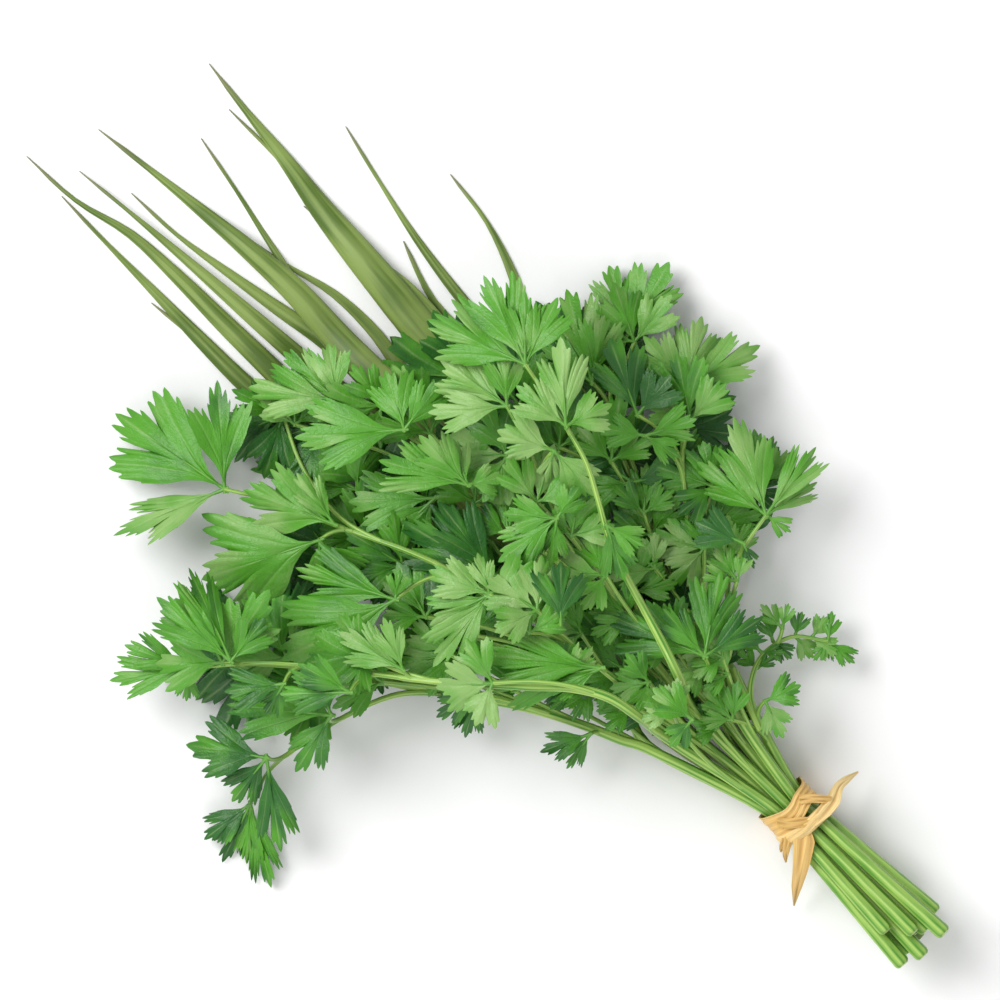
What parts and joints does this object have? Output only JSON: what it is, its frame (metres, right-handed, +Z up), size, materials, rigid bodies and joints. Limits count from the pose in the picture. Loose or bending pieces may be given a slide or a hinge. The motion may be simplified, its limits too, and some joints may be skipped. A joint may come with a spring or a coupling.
{
  "type": "parsley bunch",
  "caption": "Bunch of flat-leaf parsley with onion leaves behind it, bound near the cut ends with a strip of raffia and lying down.",
  "frame": {"origin": "middle of the floor plan of the whole bunch, on the surface that it lies on", "axes": "+X along the bunch from the cut ends to the onion leaf tips, +Z up from the surface"},
  "size_m": [0.3004, 0.1844, 0.0517],
  "materials": {
    "parsley": "satin green leaf and stem",
    "onion_leaf": "satin olive green leaf",
    "raffia": "dry straw-coloured strip"
  },
  "bodies": {
    "root": {"parsley_stem_01": "parsley", "parsley_stem_02": "parsley", "parsley_stem_03": "parsley", "parsley_stem_04": "parsley", "parsley_stem_05": "parsley", "parsley_stem_06": "parsley", "parsley_stem_07": "parsley", "parsley_stem_08": "parsley", "parsley_stem_09": "parsley", "parsley_stem_10": "parsley", "parsley_stem_11": "parsley", "parsley_stem_12": "parsley", "onion_stalk_1": "onion_leaf", "onion_stalk_2": "onion_leaf", "onion_stalk_3": "onion_leaf", "onion_stalk_4": "onion_leaf", "onion_stalk_5": "onion_leaf", "raffia_tie": "raffia"}
  },
  "joints": []
}
